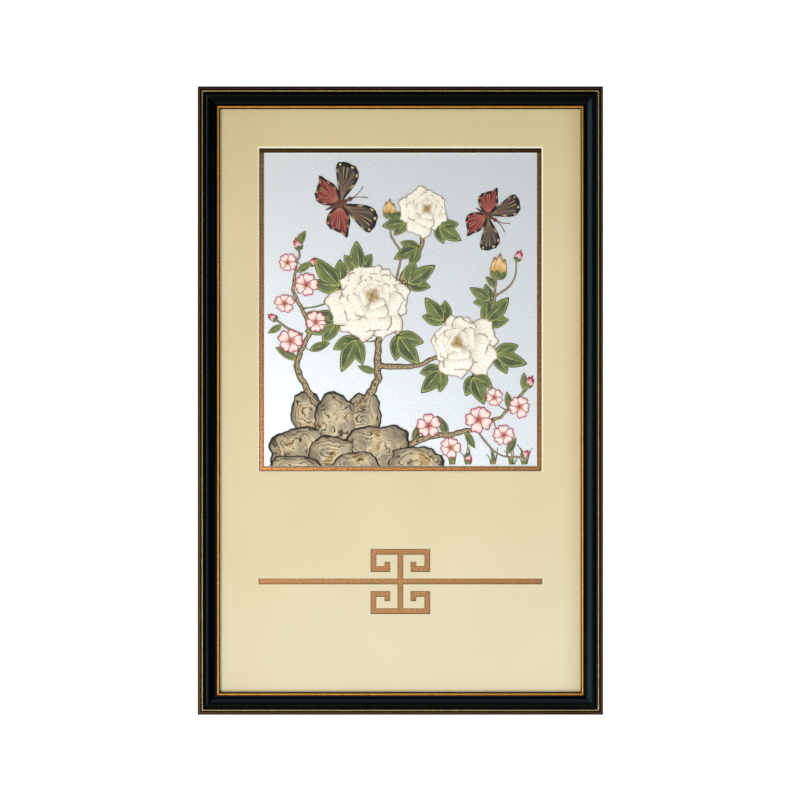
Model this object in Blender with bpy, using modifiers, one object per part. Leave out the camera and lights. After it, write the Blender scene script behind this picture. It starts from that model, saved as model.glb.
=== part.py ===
"""Framed silver relief picture, made to hang on a wall.

A mitred moulding holds a cream window mat, a bronze under mat that shows round the window and
through a fretwork cut-out, an embossed silver plate and a backing board.

The front faces -Y, X runs across and Z up. The origin is the middle of the hanger's rear face,
where the wall holds the picture. Lengths are in metres.
"""

import math

import bmesh
import bpy
from mathutils import Matrix, Vector

# Moulding, seen across its width from the outer edge inwards
frame_width = 0.405
frame_height = 0.628
rail_width = 0.022
rail_depth = 0.023
shoulder_height = 0.019
edge_round = 0.0012
line_width = 0.001
groove_width = 0.0011
groove_drop = 0.0006
outer_bead_width = 0.0017
outer_bead_rise = 0.0009
field_width = 0.0032
field_rise = 0.0009
facet_width = 0.0021
crest_round = 0.0005
step_drop = 0.0008
step_width = 0.0019
sight_bead_width = 0.0023
sight_bead_rise = 0.0014
lip_width = 0.0008
lip_thickness = 0.004
rabbet_width = 0.006
rabbet_depth = 0.0115
mitre_gap = 0.0003

# Mats, plate and back, in the rabbet from front to back
seat_gap = 0.0003
edge_clearance = 0.0015
mat_thickness = 0.0014
window_width = 0.2833
window_height = 0.3239
bronze_thickness = 0.0014
bronze_reveal = 0.0047
plate_thickness = 0.001
plate_overlap = 0.01
backing_thickness = 0.003

# Fretwork cut through the cream mat
fret_stroke = 0.0047
fret_width = 0.0587
fret_height = 0.0642
fret_hook_edge = 0.0101
fret_hook_reach = 0.0107
fret_tip_height = 0.0091

# Points that keep the back in
point_length = 0.014
point_width = 0.006
point_thickness = 0.0006
point_bite = 0.005
points_per_side = 3
points_per_end = 2

# Sawtooth hanger and its screws
hanger_length = 0.046
hanger_width = 0.009
hanger_thickness = 0.0008
hanger_bridge = 0.026
hanger_stand = 0.0024
hanger_slope = 0.003
tooth_pitch = 0.003
tooth_depth = 0.0016
screw_radius = 0.001
screw_length = 0.008
screw_head_radius = 0.002
screw_head_height = 0.001
screw_gap = 0.0003

# Relief: heights above the plate's ground, and its margin to the bronze window
relief_margin = 0.0006
relief_foot = 0.0005
relief_edge = 0.00025
bloom_rise = 0.0008
bloom_step = 0.0004
bloom_notch = 0.24
bloom_crease = 3
blossom_notch = 0.45
blossom_rise = 0.0007
leaf_rise = 0.0006
bough_rise = 0.0009
rock_rise = 0.0014
wing_rise = 0.0005

# Places that follow from the sizes above
frame_back = -(seat_gap + hanger_thickness + hanger_stand)
outer_top = (rail_width - rabbet_width) / 2
middle = Vector((0, 0, outer_top - frame_height / 2))
sight_width = frame_width - 2 * rail_width
sight_height = frame_height - 2 * rail_width
pack_width = sight_width + 2 * (rabbet_width - edge_clearance)
pack_height = sight_height + 2 * (rabbet_width - edge_clearance)
mat_front = frame_back - rabbet_depth + seat_gap
mat_back = mat_front + mat_thickness
bronze_front = mat_back + seat_gap
bronze_back = bronze_front + bronze_thickness
plate_front = bronze_back + seat_gap
plate_back = plate_front + plate_thickness
backing_front = plate_back + seat_gap
backing_back = backing_front + backing_thickness
mat_margin = (sight_width - window_width) / 2
sight_top = middle.z + sight_height / 2
window_middle = sight_top - mat_margin - window_height / 2
fret_middle = (window_middle - window_height / 2 + middle.z - sight_height / 2) / 2
picture_width = window_width - 2 * bronze_reveal
picture_height = window_height - 2 * bronze_reveal

for old in list(bpy.data.objects):
    bpy.data.objects.remove(old)

parts = bpy.data.collections.new("framed_silver_relief")
cutters = bpy.data.collections.new("cutters")
bpy.context.scene.collection.children.link(parts)
bpy.context.scene.collection.children.link(cutters)


def make_material(name, colour, roughness, metallic):
    material = bpy.data.materials.new(name)
    material.use_nodes = True
    shader = material.node_tree.nodes["Principled BSDF"]
    shader.inputs["Base Color"].default_value = (*colour, 1)
    shader.inputs["Roughness"].default_value = roughness
    shader.inputs["Metallic"].default_value = metallic
    return material


lacquer = make_material("black_lacquer", (0.012, 0.014, 0.016), 0.22, 0)
cream_board = make_material("cream_board", (0.72, 0.66, 0.45), 0.85, 0)
bronze_board = make_material("bronze_board", (0.42, 0.19, 0.05), 0.45, 0.7)
silver = make_material("satin_silver", (0.86, 0.88, 0.89), 0.35, 1)
back_board = make_material("grey_board", (0.33, 0.27, 0.2), 0.9, 0)
steel = make_material("zinc_plated_steel", (0.6, 0.6, 0.58), 0.4, 1)


def make_object(name, mesh, material=None):
    """Puts a mesh in the scene as a part with a material, or as a cutter without one."""
    made = bpy.data.objects.new(name, mesh)
    if material:
        made.data.materials.append(material)
        parts.objects.link(made)
    else:
        made.hide_render = True
        made.display_type = "WIRE"
        cutters.objects.link(made)
    return made


def make_box(name, size, centre, material=None):
    shape = bmesh.new()
    bmesh.ops.create_cube(shape, size=1, matrix=Matrix.Diagonal((*size, 1)))
    mesh = bpy.data.meshes.new(name)
    shape.to_mesh(mesh)
    shape.free()
    made = make_object(name, mesh, material)
    made.location = centre
    return made


def slab(name, width, height, front, back, centre_height, material=None):
    """A box given by its width, height, and the Y of its front and back faces."""
    centre = (0, (front + back) / 2, centre_height)
    return make_box(name, (width, back - front, height), centre, material)


def cut(target, cutter):
    modifier = target.modifiers.new("cut_" + cutter.name, "BOOLEAN")
    modifier.operation = "DIFFERENCE"
    modifier.object = cutter


def mesh_of_curve(curve):
    """The closed mesh of a curve object, which it takes out of the scene."""
    graph = bpy.context.evaluated_depsgraph_get()
    mesh = bpy.data.meshes.new_from_object(curve.evaluated_get(graph))
    bpy.data.objects.remove(curve)
    shape = bmesh.new()
    shape.from_mesh(mesh)
    bmesh.ops.remove_doubles(shape, verts=shape.verts, dist=0.000001)
    shape.to_mesh(mesh)
    shape.free()
    return mesh


def extruded_outline(name, points, thickness):
    """Mesh of a flat outline in X and Y, centred on Z."""
    curve = bpy.data.curves.new(name, "CURVE")
    curve.dimensions = "2D"
    curve.fill_mode = "BOTH"
    curve.extrude = thickness / 2
    spline = curve.splines.new("POLY")
    spline.points.add(len(points) - 1)
    for point, (x, y) in zip(spline.points, points):
        point.co = (x, y, 0, 1)
    spline.use_cyclic_u = True
    outline = bpy.data.objects.new(name, curve)
    bpy.context.scene.collection.objects.link(outline)
    bpy.context.view_layer.update()
    return mesh_of_curve(outline)


def arc(middle_x, middle_y, radius_x, radius_y, start, end, steps):
    """Points on an elliptic arc, with its angles in degrees."""
    turns = [math.radians(start + (end - start) * i / steps) for i in range(steps + 1)]
    return [(middle_x + radius_x * math.cos(t), middle_y + radius_y * math.sin(t)) for t in turns]


def rail_profile():
    """Cross-section of the moulding: distance in from the outer edge, height off the back."""
    groove_floor = shoulder_height - groove_drop
    groove_start = edge_round + line_width
    bead_start = groove_start + groove_width
    field_start = bead_start + outer_bead_width
    facet_start = field_start + field_width
    crest = facet_start + facet_width
    sight_floor = rabbet_depth + lip_thickness
    sight_bead_end = rail_width - lip_width
    step_end = sight_bead_end - sight_bead_width
    step_start = step_end - step_width
    outer_bead = (bead_start + outer_bead_width / 2, groove_floor)
    sight_bead = (step_end + sight_bead_width / 2, sight_floor)
    points = [(0, 0)]
    points += arc(edge_round, shoulder_height - edge_round, edge_round, edge_round, 180, 90, 3)
    points += [(groove_start, shoulder_height), (groove_start, groove_floor)]
    points += arc(*outer_bead, outer_bead_width / 2, outer_bead_rise, 180, 0, 6)
    points += [(facet_start, groove_floor + field_rise)]
    points += arc(crest, rail_depth - crest_round, crest_round, crest_round, 150, 45, 3)
    points += [(step_start, sight_floor + step_drop), (step_start, sight_floor)]
    points += arc(*sight_bead, sight_bead_width / 2, sight_bead_rise, 180, 0, 6)
    points += [(rail_width - lip_width / 4, sight_floor), (rail_width, sight_floor - lip_width / 2)]
    rabbet_wall = rail_width - rabbet_width
    points += [(rail_width, rabbet_depth), (rabbet_wall, rabbet_depth), (rabbet_wall, 0)]
    return points


def make_rail(name, length, span, turn):
    """One mitred length of moulding, turned about the frame's middle to its side."""
    mesh = extruded_outline(name, rail_profile(), length)
    for vertex in mesh.vertices:
        vertex.co.z -= math.copysign(vertex.co.x + mitre_gap, vertex.co.z)
    lay = Matrix(((0, 0, -1, 0), (0, -1, 0, frame_back), (-1, 0, 0, span / 2), (0, 0, 0, 1)))
    mesh.transform(Matrix.Rotation(math.radians(turn), 4, "Y") @ lay)
    bm = bmesh.new()
    bm.from_mesh(mesh)
    bmesh.ops.recalc_face_normals(bm, faces=bm.faces)
    bm.to_mesh(mesh)
    bm.free()
    rail = make_object(name, mesh, lacquer)
    rail.location = middle
    return rail


rails = {
    "top": make_rail("frame_rail_top", frame_width, frame_height, 0),
    "right": make_rail("frame_rail_right", frame_height, frame_width, 90),
    "bottom": make_rail("frame_rail_bottom", frame_width, frame_height, 180),
    "left": make_rail("frame_rail_left", frame_height, frame_width, 270),
}


def window_cutter(name, width, height, front, back):
    """A window through a board, with its edge bevelled at 45 degrees to open at the front."""
    cutter = slab(name, width, height, front, back, window_middle)
    run = back - front
    for vertex in cutter.data.vertices:
        if vertex.co.y < 0:
            vertex.co.x += math.copysign(run, vertex.co.x)
            vertex.co.z += math.copysign(run, vertex.co.z)
        vertex.co *= 3
        vertex.co.x -= math.copysign(width, vertex.co.x)
        vertex.co.z -= math.copysign(height, vertex.co.z)
    return cutter


def fret_outline():
    """The fretwork's outline in X and Z, from one quarter mirrored each way."""
    half_stroke = fret_stroke / 2
    side = fret_width / 2
    end = fret_height / 2
    hook = fret_hook_edge + fret_stroke
    tip = fret_hook_edge + fret_tip_height
    reach = fret_hook_reach + fret_stroke
    quarter = [
        (window_width / 2, half_stroke),
        (half_stroke, half_stroke),
        (half_stroke, end - fret_stroke),
        (side - fret_stroke, end - fret_stroke),
        (side - fret_stroke, hook),
        (reach, hook),
        (reach, tip),
        (fret_hook_reach, tip),
        (fret_hook_reach, fret_hook_edge),
        (side, fret_hook_edge),
        (side, end),
    ]
    upper = quarter + [(-x, z) for x, z in reversed(quarter)]
    return upper + [(x, -z) for x, z in reversed(upper)]


def fret_cutter():
    """One closed cutter for the fretwork."""
    mesh = extruded_outline("fret", fret_outline(), 3 * mat_thickness)
    mesh.transform(Matrix.Rotation(math.radians(90), 4, "X"))
    cutter = make_object("fret", mesh)
    cutter.location = (0, (mat_front + mat_back) / 2, fret_middle)
    return cutter


mat_board = slab("mat_board", pack_width, pack_height, mat_front, mat_back, middle.z, cream_board)
cut(mat_board, window_cutter("mat_window", window_width, window_height, mat_front, mat_back))
cut(mat_board, fret_cutter())

under_mat = slab(
    "bronze_under_mat", pack_width, pack_height, bronze_front, bronze_back, middle.z, bronze_board
)
bronze_window = window_cutter(
    "bronze_window", picture_width, picture_height, bronze_front, bronze_back
)
cut(under_mat, bronze_window)

# Relief layout, in hundredths of the picture's height from its middle
unit = picture_height / 100

blooms = (
    # x, z, radius, petals in the outer ring, rings
    (-10, 1, 13.5, 8, 4),
    (21, -12, 11, 7, 4),
    (7, 31, 7.5, 6, 3),
)
blossoms = (
    # x, z, radius
    (-35, -9, 4),
    (-28, -3, 3.4),
    (-36, 2, 3.2),
    (-31, 9, 3.8),
    (-36, 15, 2.8),
    (9, -38, 3.8),
    (17, -43, 3.4),
    (25, -36, 4.2),
    (33, -40, 3.2),
    (37, -31, 3.6),
    (30, -28, 2.8),
)
leaves = (
    # x, z of the base, turn in degrees, length, width
    (-20, 9, 128, 13, 6),
    (-22, -4, 190, 12, 5.5),
    (-15, -10, 238, 11, 5.5),
    (0, -8, 300, 12, 5.5),
    (1, 9, 42, 11, 5),
    (-9, 14, 84, 10, 5),
    (13, -3, 122, 11, 5),
    (27, -3, 58, 12, 5.5),
    (31, -14, -14, 11, 5),
    (23, -22, -70, 10, 5),
    (12, -20, 232, 10, 5),
    (1, 29, 172, 10, 4.5),
    (12, 26, -28, 11, 5),
    (6, 22, 214, 8, 4),
    (-24, -20, 150, 8, 3.5),
    (15, -36, 110, 6, 2.6),
    (37, -26, 70, 6, 2.6),
    (-34, 20, 52, 6, 2.6),
)
buds = (
    # x, z of the base, turn in degrees, length, width
    (31, 12, 70, 6.5, 4),
    (-32, 19, 112, 4, 2.6),
    (40.3, -24.9, 62, 4.5, 2.6),
    (-39.2, -3.3, 160, 4.2, 2.4),
)
boughs = (
    # half width at the root, half width at the tip, route from root to tip
    (1.3, 0.6, ((-16, -34), (-8, -24), (-7, -12), (-2, 6), (6, 18), (7, 28))),
    (0.9, 0.5, ((-7, -18), (4, -18), (14, -14), (21, -12))),
    (0.6, 0.4, ((22, -8), (29, 0), (30, 7), (31, 13))),
    (1.1, 0.35, ((-27, -30), (-33, -18), (-29, -6), (-34, 6), (-32, 20))),
    (0.6, 0.3, ((-31, -8), (-36, -6), (-40, -3))),
    (1.2, 0.35, ((-4, -46), (8, -41), (20, -39), (32, -34), (41, -24))),
)
rocks = (
    # x, z, half width, half height, turn in degrees
    (-30, -46, 12, 9, 10),
    (-20, -38, 10, 11, -18),
    (-9, -45, 12, 9, 6),
    (-28, -34, 6, 7, 20),
    (-13, -33, 6, 7, -12),
    (2, -49, 9, 6, 0),
)
butterflies = (
    # x, z, turn in degrees, wing length
    (-19, 34, 24, 12),
    (28, 28, -32, 10),
)


def petal_outline(turn):
    """A rounded petal from its base at 0 to its tip at 1, fuller and dented at the tip."""
    along, across = math.cos(turn), math.sin(turn)
    dent = 0.12 * math.exp(-((across / 0.35) ** 2)) if along > 0 else 0
    return (along + 1) / 2 - dent, across * (0.8 + 0.3 * along) / 2


def leaf_outline(turn):
    """A leaf from its stalk at 0 to its point at 1, pointed at both ends."""
    along, across = math.cos(turn), math.sin(turn)
    return (along + 1) / 2, across * abs(across) ** 0.6 * (1 - 0.25 * along) / 2


def rosette_outline(lobes, depth):
    """The outline of an open flower: round petals about a middle, with notches of this depth."""

    def outline(turn):
        reach = 1 - depth + depth * abs(math.cos(lobes * turn / 2)) ** 0.6
        return reach * math.cos(turn), reach * math.sin(turn)

    return outline


def rock_outline(turn):
    """A weathered boulder, uneven and a little square."""
    reach = 1 + 0.09 * math.sin(3 * turn + 1) + 0.07 * math.sin(7 * turn)
    return reach * math.cos(turn), reach * math.sin(turn)


def fore_wing_outline(turn):
    """A butterfly's fore wing: narrow at its root, with a broad raked end."""
    along, across = math.cos(turn), math.sin(turn)
    blunt = math.copysign(abs(across) ** 0.7, across)
    return (along + 1) / 2, blunt * (0.62 + 0.45 * along) / 2 + 0.12 * max(along, 0) ** 2


def hind_wing_outline(turn):
    """A butterfly's hind wing: round, with a short tail."""
    along, across = math.cos(turn), math.sin(turn)
    tail = 0.22 * math.exp(-(((turn + 0.5) / 0.35) ** 2))
    return (along + 1) / 2 + tail, across * (0.85 + 0.25 * along) / 2 - 0.6 * tail


def trim_to_window(shape):
    """Cuts a figure off flat where it would run under the bronze mat."""
    edges = (
        (picture_width / 2 - relief_margin, Vector((1, 0, 0))),
        (picture_height / 2 - relief_margin, Vector((0, 0, 1))),
    )
    for reach, normal in edges:
        for way in (normal, -normal):
            if all(vertex.co.dot(way) < reach for vertex in shape.verts):
                continue
            everything = shape.verts[:] + shape.edges[:] + shape.faces[:]
            place = {"plane_co": way * reach, "plane_no": way}
            bmesh.ops.bisect_plane(shape, geom=everything, clear_outer=True, **place)
            bmesh.ops.holes_fill(shape, edges=shape.edges)


def add_shape(figures, shape):
    """Adds one closed body to the collection of figures."""
    bmesh.ops.triangulate(shape, faces=shape.faces)
    trim_to_window(shape)
    bmesh.ops.recalc_face_normals(shape, faces=shape.faces)
    name = f"figure_{len(figures.objects)}"
    mesh = bpy.data.meshes.new(name)
    shape.to_mesh(mesh)
    shape.free()
    made = bpy.data.objects.new(name, mesh)
    made.location = (0, plate_front, window_middle)
    made.hide_render = True
    made.display_type = "WIRE"
    figures.objects.link(made)


def add_dome(figures, outline, place, size, turn, low, rise, sides, crease=0):
    """Adds a closed dome with this outline for its plan; its edge stands low off the plate.

    A crease above 0 sinks the dome by that share between the lobes of its outline.
    """
    shape = bmesh.new()
    bmesh.ops.create_uvsphere(shape, u_segments=sides, v_segments=4, radius=1)
    turned = Matrix.Rotation(math.radians(turn), 2)
    core = Vector(outline(0)) / 2 + Vector(outline(math.pi)) / 2
    for vertex in shape.verts:
        height = vertex.co.z
        flat = Vector(vertex.co.xy)
        reach = flat.length
        if height < 0 and reach > 0.1:
            reach = 1
        edge = Vector(outline(math.atan2(flat.y, flat.x) if reach else 0))
        plan = core + (edge - core) * reach
        plan = turned @ Vector((plan.x * size[0], plan.y * size[1])) * unit
        sunk = crease * (1 - edge.length)
        lift = low + rise * height * (1 - sunk) if height > -0.1 else relief_foot * height
        vertex.co = (place[0] * unit + plan.x, -lift, place[1] * unit + plan.y)
    add_shape(figures, shape)


def around(place, distance, turn):
    """The point this far from a place, in the direction of turn, in degrees."""
    angle = math.radians(turn)
    return place[0] + distance * math.cos(angle), place[1] + distance * math.sin(angle)


def add_bloom(figures, x, z, radius, petals, rings):
    """A full flower: rings of petals, each ring smaller and standing higher than the last."""
    for ring in range(rings):
        lobes = petals - ring
        reach = radius * (1 - ring / (rings + 0.4))
        low = relief_edge + bloom_step * (ring + 1)
        turn = x + 40 * ring
        outline = rosette_outline(lobes, bloom_notch)
        size = (reach, reach)
        sides = 4 * lobes
        add_dome(figures, outline, (x, z), size, turn, low, bloom_rise, sides, bloom_crease)


def bough_section():
    """Half-round section of a bough, with straight sides below it: a curve of unit width."""
    section = bpy.data.curves.new("bough_section", "CURVE")
    section.dimensions = "2D"
    points = arc(0, 0, unit, unit, 0, 180, 4) + [(-unit, -unit), (unit, -unit)]
    spline = section.splines.new("POLY")
    spline.points.add(len(points) - 1)
    for point, (x, y) in zip(spline.points, points):
        point.co = (x, y, 0, 1)
    spline.use_cyclic_u = True
    made = bpy.data.objects.new("bough_section", section)
    made.hide_render = True
    cutters.objects.link(made)
    return made


def add_bough(figures, section, root, tip, route):
    """A bough: the section swept along a smooth route, tapering towards its tip."""
    curve = bpy.data.curves.new("bough", "CURVE")
    curve.dimensions = "2D"
    curve.bevel_mode = "OBJECT"
    curve.bevel_object = section
    curve.use_fill_caps = True
    curve.resolution_u = 2
    spline = curve.splines.new("BEZIER")
    spline.bezier_points.add(len(route) - 1)
    for number, (point, (x, z)) in enumerate(zip(spline.bezier_points, route)):
        point.co = (x * unit, z * unit, 0)
        point.handle_left_type = point.handle_right_type = "AUTO"
        point.radius = root + (tip - root) * number / (len(route) - 1)
    rod = bpy.data.objects.new("bough", curve)
    bpy.context.scene.collection.objects.link(rod)
    bpy.context.view_layer.update()
    mesh = mesh_of_curve(rod)
    foot = relief_foot * (0.6 + 0.3 * root)
    for vertex in mesh.vertices:
        x, z, height = vertex.co
        lift = relief_edge + height * bough_rise / (root * unit)
        if height < -0.1 * tip * unit:
            lift = -foot
        vertex.co = (x, -lift, z)
    shape = bmesh.new()
    shape.from_mesh(mesh)
    bpy.data.meshes.remove(mesh)
    add_shape(figures, shape)


def add_butterfly(figures, x, z, turn, length):
    """Two pairs of spread wings and a slim body."""
    heart = (x, z)
    for side in (-1, 1):
        fore = turn + side * 52
        hind = turn + side * 122
        wings = (
            (fore_wing_outline, fore, length, 0.8 * length, 2),
            (hind_wing_outline, hind, 0.68 * length, 0.7 * length, 1),
        )
        for outline, angle, long, broad, level in wings:
            size = (long, side * broad)
            base = around(heart, 0.04 * length, angle)
            low = relief_edge * (level + 0.2 * side)
            add_dome(figures, outline, base, size, angle, low, wing_rise, 12)
    tail = around(heart, -0.42 * length, turn)
    size = (0.85 * length, 0.14 * length)
    add_dome(figures, petal_outline, tail, size, turn, relief_edge * 2, 2 * wing_rise, 8)


def relief_figures():
    """All the figures, as closed and overlapping bodies in a collection of their own."""
    figures = bpy.data.collections.new("relief_figures")
    figures.hide_render = True
    cutters.children.link(figures)
    for x, z, wide, high, turn in rocks:
        size = (wide, high)
        add_dome(figures, rock_outline, (x, z), size, turn, relief_edge, rock_rise, 14)
    section = bough_section()
    for bough in boughs:
        add_bough(figures, section, *bough)
    for x, z, turn, length, width in leaves:
        size = (length, width)
        add_dome(figures, leaf_outline, (x, z), size, turn, relief_edge, leaf_rise, 8)
    for bloom in blooms:
        add_bloom(figures, *bloom)
    five_petals = rosette_outline(5, blossom_notch)
    for number, (x, z, radius) in enumerate(blossoms):
        size = (radius, radius)
        turn = 47 * number
        add_dome(figures, five_petals, (x, z), size, turn, 2 * relief_edge, blossom_rise, 15)
    for x, z, turn, length, width in buds:
        size = (length, width)
        add_dome(figures, petal_outline, (x, z), size, turn, 2 * relief_edge, blossom_rise, 8)
    for butterfly in butterflies:
        add_butterfly(figures, *butterfly)
    return figures


def make_relief():
    """The embossed plate: its ground and all the figures, as one solid."""
    plate_width = picture_width + 2 * plate_overlap
    plate_height = picture_height + 2 * plate_overlap
    plate = slab(
        "silver_relief", plate_width, plate_height, plate_front, plate_back, window_middle, silver
    )
    emboss = plate.modifiers.new("emboss", "BOOLEAN")
    emboss.operation = "UNION"
    emboss.operand_type = "COLLECTION"
    emboss.solver = "MANIFOLD"
    emboss.collection = relief_figures()
    return plate


silver_relief = make_relief()
backing_board = slab(
    "backing_board", pack_width, pack_height, backing_front, backing_back, middle.z, back_board
)


def point_outline():
    """A flat steel point, its sharp end at the origin and its tail towards +X."""
    half = point_width / 2
    return [(0, 0), (half, -half), (point_length, -half), (point_length, half), (half, half)]


def add_points(side, count, run, span, turn):
    """Steel points along one rail, each half in a slot in the rabbet wall."""
    wall = span / 2 - (rail_width - rabbet_width)
    depth = backing_back + seat_gap + point_thickness / 2
    turned = Matrix.Rotation(math.radians(turn), 4, "Y")
    flat = Matrix.Rotation(math.radians(90), 4, "X") @ Matrix.Rotation(math.radians(-90), 4, "Z")
    for number in range(count):
        along = run * ((number + 0.5) / count - 0.5)
        name = f"retaining_point_{side}_{number + 1}"
        mesh = extruded_outline(name, point_outline(), point_thickness)
        point = make_object(name, mesh, steel)
        tip = middle + turned @ Vector((along, 0, wall + point_bite))
        point.matrix_world = Matrix.Translation((tip.x, depth, tip.z)) @ turned @ flat
        size = (
            point_width + 2 * seat_gap,
            point_thickness + 2 * seat_gap,
            2 * (point_bite + seat_gap),
        )
        slot = make_box("slot_" + name, size, (0, 0, 0))
        place = middle + turned @ Vector((along, 0, wall))
        slot.matrix_world = Matrix.Translation((place.x, depth, place.z)) @ turned
        cut(rails[side], slot)


add_points("top", points_per_end, sight_width, frame_height, 0)
add_points("right", points_per_side, sight_height, frame_width, 90)
add_points("bottom", points_per_end, sight_width, frame_height, 180)
add_points("left", points_per_side, sight_height, frame_width, 270)


def hanger_outline():
    """Top view of the bent strip: flat ends on the rail and a bridge that stands off it."""
    rear = -hanger_thickness
    low = rear - hanger_stand
    half = hanger_length / 2
    bridge = hanger_bridge / 2
    foot = bridge + hanger_slope
    right = [(bridge, 0), (foot, -hanger_stand), (half, -hanger_stand), (half, low)]
    inner = [(foot - hanger_thickness / 2, low), (bridge - hanger_thickness / 2, rear)]
    side = right + inner
    return side + [(-x, y) for x, y in reversed(side)]


def make_hanger():
    """Sawtooth hanger: the bent strip, with teeth under its bridge and a hole in each end."""
    mesh = extruded_outline("sawtooth_hanger", hanger_outline(), hanger_width)
    bm = bmesh.new()
    bm.from_mesh(mesh)
    bmesh.ops.recalc_face_normals(bm, faces=bm.faces)
    bm.to_mesh(mesh)
    bm.free()
    hanger = make_object("sawtooth_hanger", mesh, steel)
    count = int((hanger_bridge - tooth_pitch) / tooth_pitch)
    for number in range(count):
        x = (number - (count - 1) / 2) * tooth_pitch
        half = tooth_pitch * 0.4
        notch = [(x - half, -tooth_depth), (x + half, -tooth_depth), (x, tooth_depth)]
        tooth = extruded_outline(f"tooth_{number}", notch, 6 * hanger_thickness)
        tooth = make_object(f"tooth_{number}", tooth)
        tooth.rotation_euler.x = math.radians(90)
        tooth.location = (0, -hanger_thickness / 2, -hanger_width / 2)
        cut(hanger, tooth)
    return hanger


sawtooth_hanger = make_hanger()


def turned_mesh(name, profile, material):
    """A turned piece: a profile in X and Z, from its top to its foot, spun about Z."""
    mesh = bpy.data.meshes.new(name)
    edges = [(i, i + 1) for i in range(len(profile) - 1)]
    mesh.from_pydata([(radius, 0, height) for radius, height in profile], edges, [])
    piece = make_object(name, mesh, material)
    spin = piece.modifiers.new("spin", "SCREW")
    spin.steps = 16
    spin.render_steps = 16
    spin.use_merge_vertices = True
    spin.merge_threshold = 0.000001
    return piece


def screw_profile(extra):
    """Round head above a plain shank, grown by extra all over for the hole that it sits in."""
    head = screw_head_radius
    shank = screw_radius + extra
    tip = -(screw_length + extra)
    if extra:
        return [(0, screw_length), (shank, screw_length), (shank, tip), (0, tip)]
    top = screw_head_height
    dome = [(0, top), (head * 0.5, top * 0.9), (head * 0.85, top * 0.55), (head, 0)]
    return dome + [(shank, 0), (shank, tip + shank), (0, tip)]


for side, across in (("left", -1), ("right", 1)):
    foot_middle = (hanger_length / 2 + hanger_bridge / 2 + hanger_slope) / 2
    seat = -hanger_stand + screw_gap
    place = (across * foot_middle, seat, 0)
    screw = turned_mesh("hanger_screw_" + side, screw_profile(0), steel)
    hole = turned_mesh("hole_" + side, screw_profile(screw_gap), None)
    for piece in (screw, hole):
        piece.rotation_euler.x = math.radians(-90)
        piece.location = place
    cut(sawtooth_hanger, hole)
    cut(rails["top"], hole)
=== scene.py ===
import random
from math import atan2, copysign, cos, exp, pi, radians, sin, sqrt

import bpy
from mathutils import Matrix, Vector, noise


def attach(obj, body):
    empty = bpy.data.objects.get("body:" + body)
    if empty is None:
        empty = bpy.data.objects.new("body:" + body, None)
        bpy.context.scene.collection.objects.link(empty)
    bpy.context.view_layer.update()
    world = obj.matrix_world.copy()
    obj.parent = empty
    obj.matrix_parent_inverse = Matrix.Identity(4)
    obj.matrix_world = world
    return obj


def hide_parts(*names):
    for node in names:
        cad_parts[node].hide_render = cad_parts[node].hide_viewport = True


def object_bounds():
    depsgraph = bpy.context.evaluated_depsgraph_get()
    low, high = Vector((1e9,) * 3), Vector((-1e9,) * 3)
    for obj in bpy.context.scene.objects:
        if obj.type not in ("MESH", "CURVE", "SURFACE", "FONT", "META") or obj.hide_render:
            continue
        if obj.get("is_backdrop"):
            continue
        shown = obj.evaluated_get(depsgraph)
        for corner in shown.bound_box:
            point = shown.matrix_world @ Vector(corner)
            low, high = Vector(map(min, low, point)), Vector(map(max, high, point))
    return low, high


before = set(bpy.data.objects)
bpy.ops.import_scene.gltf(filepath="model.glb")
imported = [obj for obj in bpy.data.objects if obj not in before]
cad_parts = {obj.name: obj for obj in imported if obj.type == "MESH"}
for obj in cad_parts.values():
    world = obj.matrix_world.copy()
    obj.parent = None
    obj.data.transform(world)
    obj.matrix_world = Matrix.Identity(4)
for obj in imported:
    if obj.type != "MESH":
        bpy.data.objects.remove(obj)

cad_box = [list(corner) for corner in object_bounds()]

# ---------------------------------------- Moulding
# The frame is a wood moulding, planed to one section, lacquered black and
# rubbed with gilt on its beads. Four lengths are mitred, glued and pinned.

frame_width = 0.405
frame_height = 0.628
rail_width = 0.022
rail_depth = 0.023
shoulder_height = 0.019
edge_round = 0.0012
rim_width = 0.0004
line_width = 0.0006
groove_width = 0.0015
groove_drop = 0.0006
outer_bead_width = 0.0017
outer_bead_rise = 0.0009
field_width = 0.0032
field_rise = 0.0009
facet_width = 0.0021
crest_round = 0.0005
step_drop = 0.0008
step_width = 0.0019
sight_bead_width = 0.0023
sight_bead_rise = 0.0014
lip_width = 0.0008
lip_thickness = 0.004
wall_lean = 0.0002
field_ease = 0.0003
cove_inset = 0.0009
cove_rise = 0.0014
cove_radius = 0.0008
rabbet_width = 0.006
rabbet_depth = 0.0115
mitre_gap = 0.00006
frame_back = -0.0035
middle = Vector((0, 0, -0.306))


def deselect():
    bpy.ops.object.select_all(action="DESELECT")


def tint(code):
    """Linear colour of a paint given as red, green and blue in hexadecimal."""
    shares = [int(code[i : i + 2], 16) / 255 for i in (0, 2, 4)]
    return [s / 12.92 if s < 0.04045 else ((s + 0.055) / 1.055) ** 2.4 for s in shares] + [1]


def new_material(name, values):
    """A material with these values set on its shader."""
    material = bpy.data.materials.new(name)
    material.use_nodes = True
    for socket, value in values.items():
        material.node_tree.nodes["Principled BSDF"].inputs[socket].default_value = value
    return material


def pattern(kind, sockets, operation=None):
    """A node of this kind, each of its sockets set to a value or fed, beside what feeds it."""
    tree = next(v.id_data for v in sockets.values() if isinstance(v, bpy.types.NodeSocket))
    made = tree.nodes.new("ShaderNode" + kind)
    if operation:
        made.operation = operation
    for name, value in sockets.items():
        if isinstance(value, bpy.types.NodeSocket):
            tree.links.new(value, made.inputs[name])
        else:
            made.inputs[name].default_value = value
    return made


def feed(socket, source):
    """Feeds a socket of the shader that this source belongs with."""
    tree = source.id_data
    tree.links.new(source, tree.nodes["Principled BSDF"].inputs[socket])


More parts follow.
